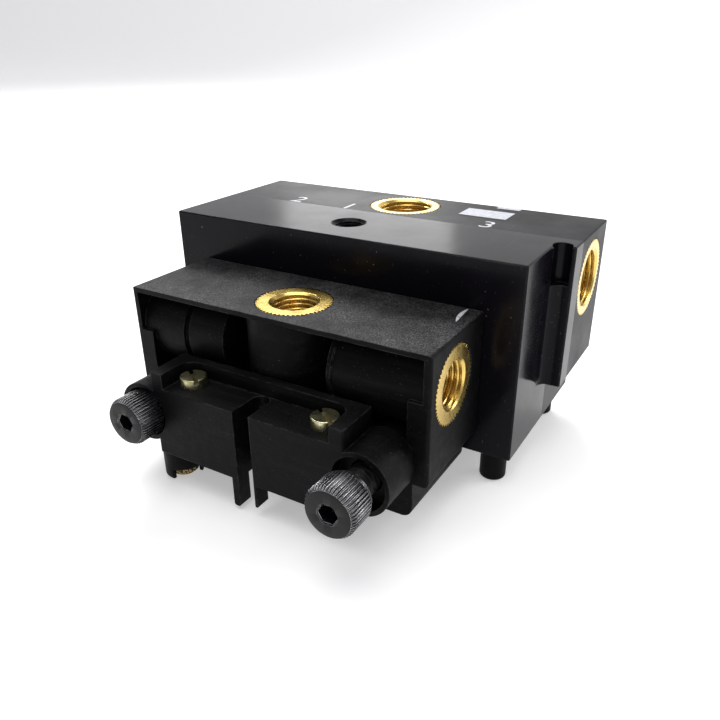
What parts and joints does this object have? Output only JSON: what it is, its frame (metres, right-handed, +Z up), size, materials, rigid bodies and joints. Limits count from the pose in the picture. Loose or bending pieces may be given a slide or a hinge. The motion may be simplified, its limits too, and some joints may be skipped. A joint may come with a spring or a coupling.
{
  "type": "pilot operated pneumatic valve block",
  "caption": "Black plastic pneumatic valve block with brass threaded ports, a pilot head and a small cover held by knurled captive screws, with silenced exhausts.",
  "frame": {"origin": "middle of the whole object's box, on the surface that the feet stand on", "axes": "+Z up, -Y out of the pilot cover, +X towards the ported end of the main block"},
  "size_m": [0.115, 0.1072, 0.0627],
  "materials": {
    "acetal": "machined gloss black",
    "nylon": "moulded glass-filled black",
    "brass": "machined bright",
    "black_steel": "black oxide",
    "passivated_steel": "yellow passivated",
    "steel": "plain",
    "bronze": "sintered grains",
    "seal": "nitrile",
    "spool_aluminium": "hard anodised",
    "label": "printed film"
  },
  "bodies": {
    "valve_block": {"assembly_screws": "steel", "blank_label": "label", "cover_screws": "passivated_steel", "cover_seals": "seal", "end_plug": "nylon", "end_plug_seal": "seal", "feet": "nylon", "gallery_plugs": "brass", "head_body": "nylon", "head_gallery_plug": "brass", "head_left_insert": "brass", "head_right_insert": "brass", "head_top_insert": "brass", "interface_seals": "seal", "left_poppet_spring": "steel", "left_screw_bush": "brass", "left_silencer": "bronze", "main_body": "acetal", "main_left_insert": "brass", "main_right_insert": "brass", "main_top_insert": "brass", "pilot_cover": "nylon", "return_spring": "steel", "right_poppet_spring": "steel", "right_screw_bush": "brass", "right_silencer": "bronze", "screw_inserts": "brass", "sleeve_seals": "seal", "valve_sleeve": "brass"},
    "spool": {"main_spool": "spool_aluminium", "spool_seals": "seal"},
    "left_carrier": {"left_captive_washer": "black_steel"},
    "left_screw": {"left_knurled_screw": "black_steel"},
    "left_pilot_poppet": {"left_poppet": "brass"},
    "right_carrier": {"right_captive_washer": "black_steel"},
    "right_screw": {"right_knurled_screw": "black_steel"},
    "right_pilot_poppet": {"right_poppet": "brass"}
  },
  "joints": [
    {"name": "spool_stroke", "type": "slide", "parent": "valve_block", "child": "spool", "axis": [-1, 0, 0], "range_m": [0, 0.0065], "stiffness_N_per_m": 900, "springref_m": -0.004, "deforming": ["return_spring"]},
    {"name": "left_screw_slide", "type": "slide", "parent": "valve_block", "child": "left_carrier", "axis": [0, -1, 0], "range_m": [-0.0023, 0.0097]},
    {"name": "left_screw_turn", "type": "hinge", "parent": "left_carrier", "child": "left_screw", "pos_m": [-0.0345, -0.02835, 0.0207], "axis": [0, -1, 0], "range_deg": [-2500, 2850]},
    {"name": "left_poppet_lift", "type": "slide", "parent": "valve_block", "child": "left_pilot_poppet", "axis": [0, 0, 1], "range_m": [0, 0.0012], "stiffness_N_per_m": 200, "springref_m": -0.002, "deforming": ["left_poppet_spring"]},
    {"name": "right_screw_slide", "type": "slide", "parent": "valve_block", "child": "right_carrier", "axis": [0, -1, 0], "range_m": [-0.0075, 0.0045]},
    {"name": "right_screw_turn", "type": "hinge", "parent": "right_carrier", "child": "right_screw", "pos_m": [0.0311, -0.02835, 0.0207], "axis": [0, -1, 0], "range_deg": [-2500, 2850]},
    {"name": "right_poppet_lift", "type": "slide", "parent": "valve_block", "child": "right_pilot_poppet", "axis": [0, 0, 1], "range_m": [0, 0.0012], "stiffness_N_per_m": 200, "springref_m": -0.002, "deforming": ["right_poppet_spring"]}
  ],
  "couplings": [
    {"joint": "left_screw_turn", "follows": "left_screw_slide", "rad_per_m": 5026.5},
    {"joint": "right_screw_turn", "follows": "right_screw_slide", "rad_per_m": 5026.5}
  ]
}
